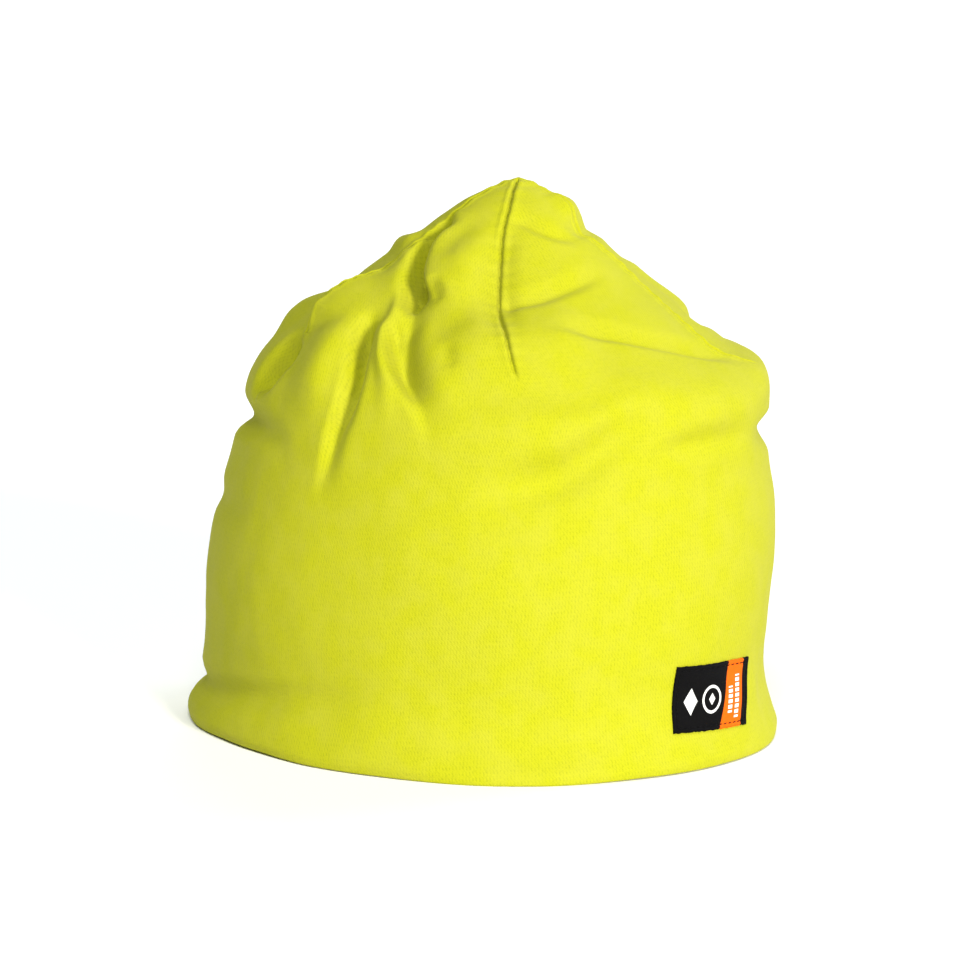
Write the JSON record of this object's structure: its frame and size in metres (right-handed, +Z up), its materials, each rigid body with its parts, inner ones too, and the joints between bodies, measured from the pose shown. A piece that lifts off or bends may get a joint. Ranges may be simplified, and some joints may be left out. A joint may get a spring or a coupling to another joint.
{
  "type": "high-visibility jersey beanie",
  "caption": "Soft high-visibility jersey beanie with darts meeting at the tip, standing on its rolled hem, open below, with a small woven patch at the front.",
  "frame": {"origin": "middle of the hem's outline, on the plane that the hem rests on", "axes": "+Z up through the crown; -Y towards the forehead, where the patch is; +X towards the wearer's left ear"},
  "size_m": [0.1784, 0.2097, 0.1868],
  "materials": {
    "jersey": "matte fluorescent yellow knit",
    "woven_label": "matte black weave with an orange band"
  },
  "bodies": {
    "root": {"crown": "jersey", "label": "woven_label"}
  },
  "joints": []
}
